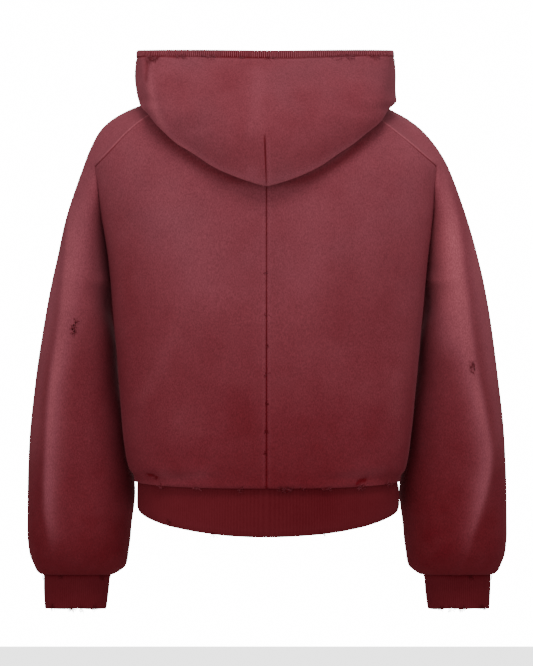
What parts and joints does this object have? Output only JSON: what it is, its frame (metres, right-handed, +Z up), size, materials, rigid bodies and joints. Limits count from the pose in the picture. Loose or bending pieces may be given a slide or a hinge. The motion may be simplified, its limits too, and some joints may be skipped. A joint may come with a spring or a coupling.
{
  "type": "zip up hoodie, worn with no wearer",
  "caption": "Oversized raglan hoodie in brushed fleece with a full front zip, ribbed cuffs and hem, hood down, hollow as worn.",
  "frame": {"origin": "middle of the neck hole, at the height where the garment rests on the wearer's shoulders and neck", "axes": "+Z up, +Y the way the wearer faces, +X to the wearer's right; the back of the garment faces -Y"},
  "size_m": [0.717, 0.3252, 0.8372],
  "materials": {
    "fleece": "washed, sun-faded brushed fleece",
    "rib": "fine rib knit",
    "zip_tape": "woven tape",
    "zip_metal": "antique nickel"
  },
  "bodies": {
    "garment": {"back_left": "fleece", "back_right": "fleece", "front_left": "fleece", "front_right": "fleece", "sleeve_left": "fleece", "sleeve_right": "fleece", "hood": "fleece", "hem_band": "rib", "cuff_left": "rib", "cuff_right": "rib", "zip_tape_left": "zip_tape", "zip_tape_right": "zip_tape", "zip_slider": "zip_metal", "zip_stop_left": "zip_metal", "zip_stop_right": "zip_metal", "zip_box": "zip_metal"},
    "pull_tab": {"zip_pull": "zip_metal"}
  },
  "joints": [
    {"name": "pull_hinge", "type": "hinge", "parent": "garment", "child": "pull_tab", "pos_m": [0, 0.09267, -0.07681], "axis": [1, 0, 0], "range_deg": [0, 150]}
  ]
}
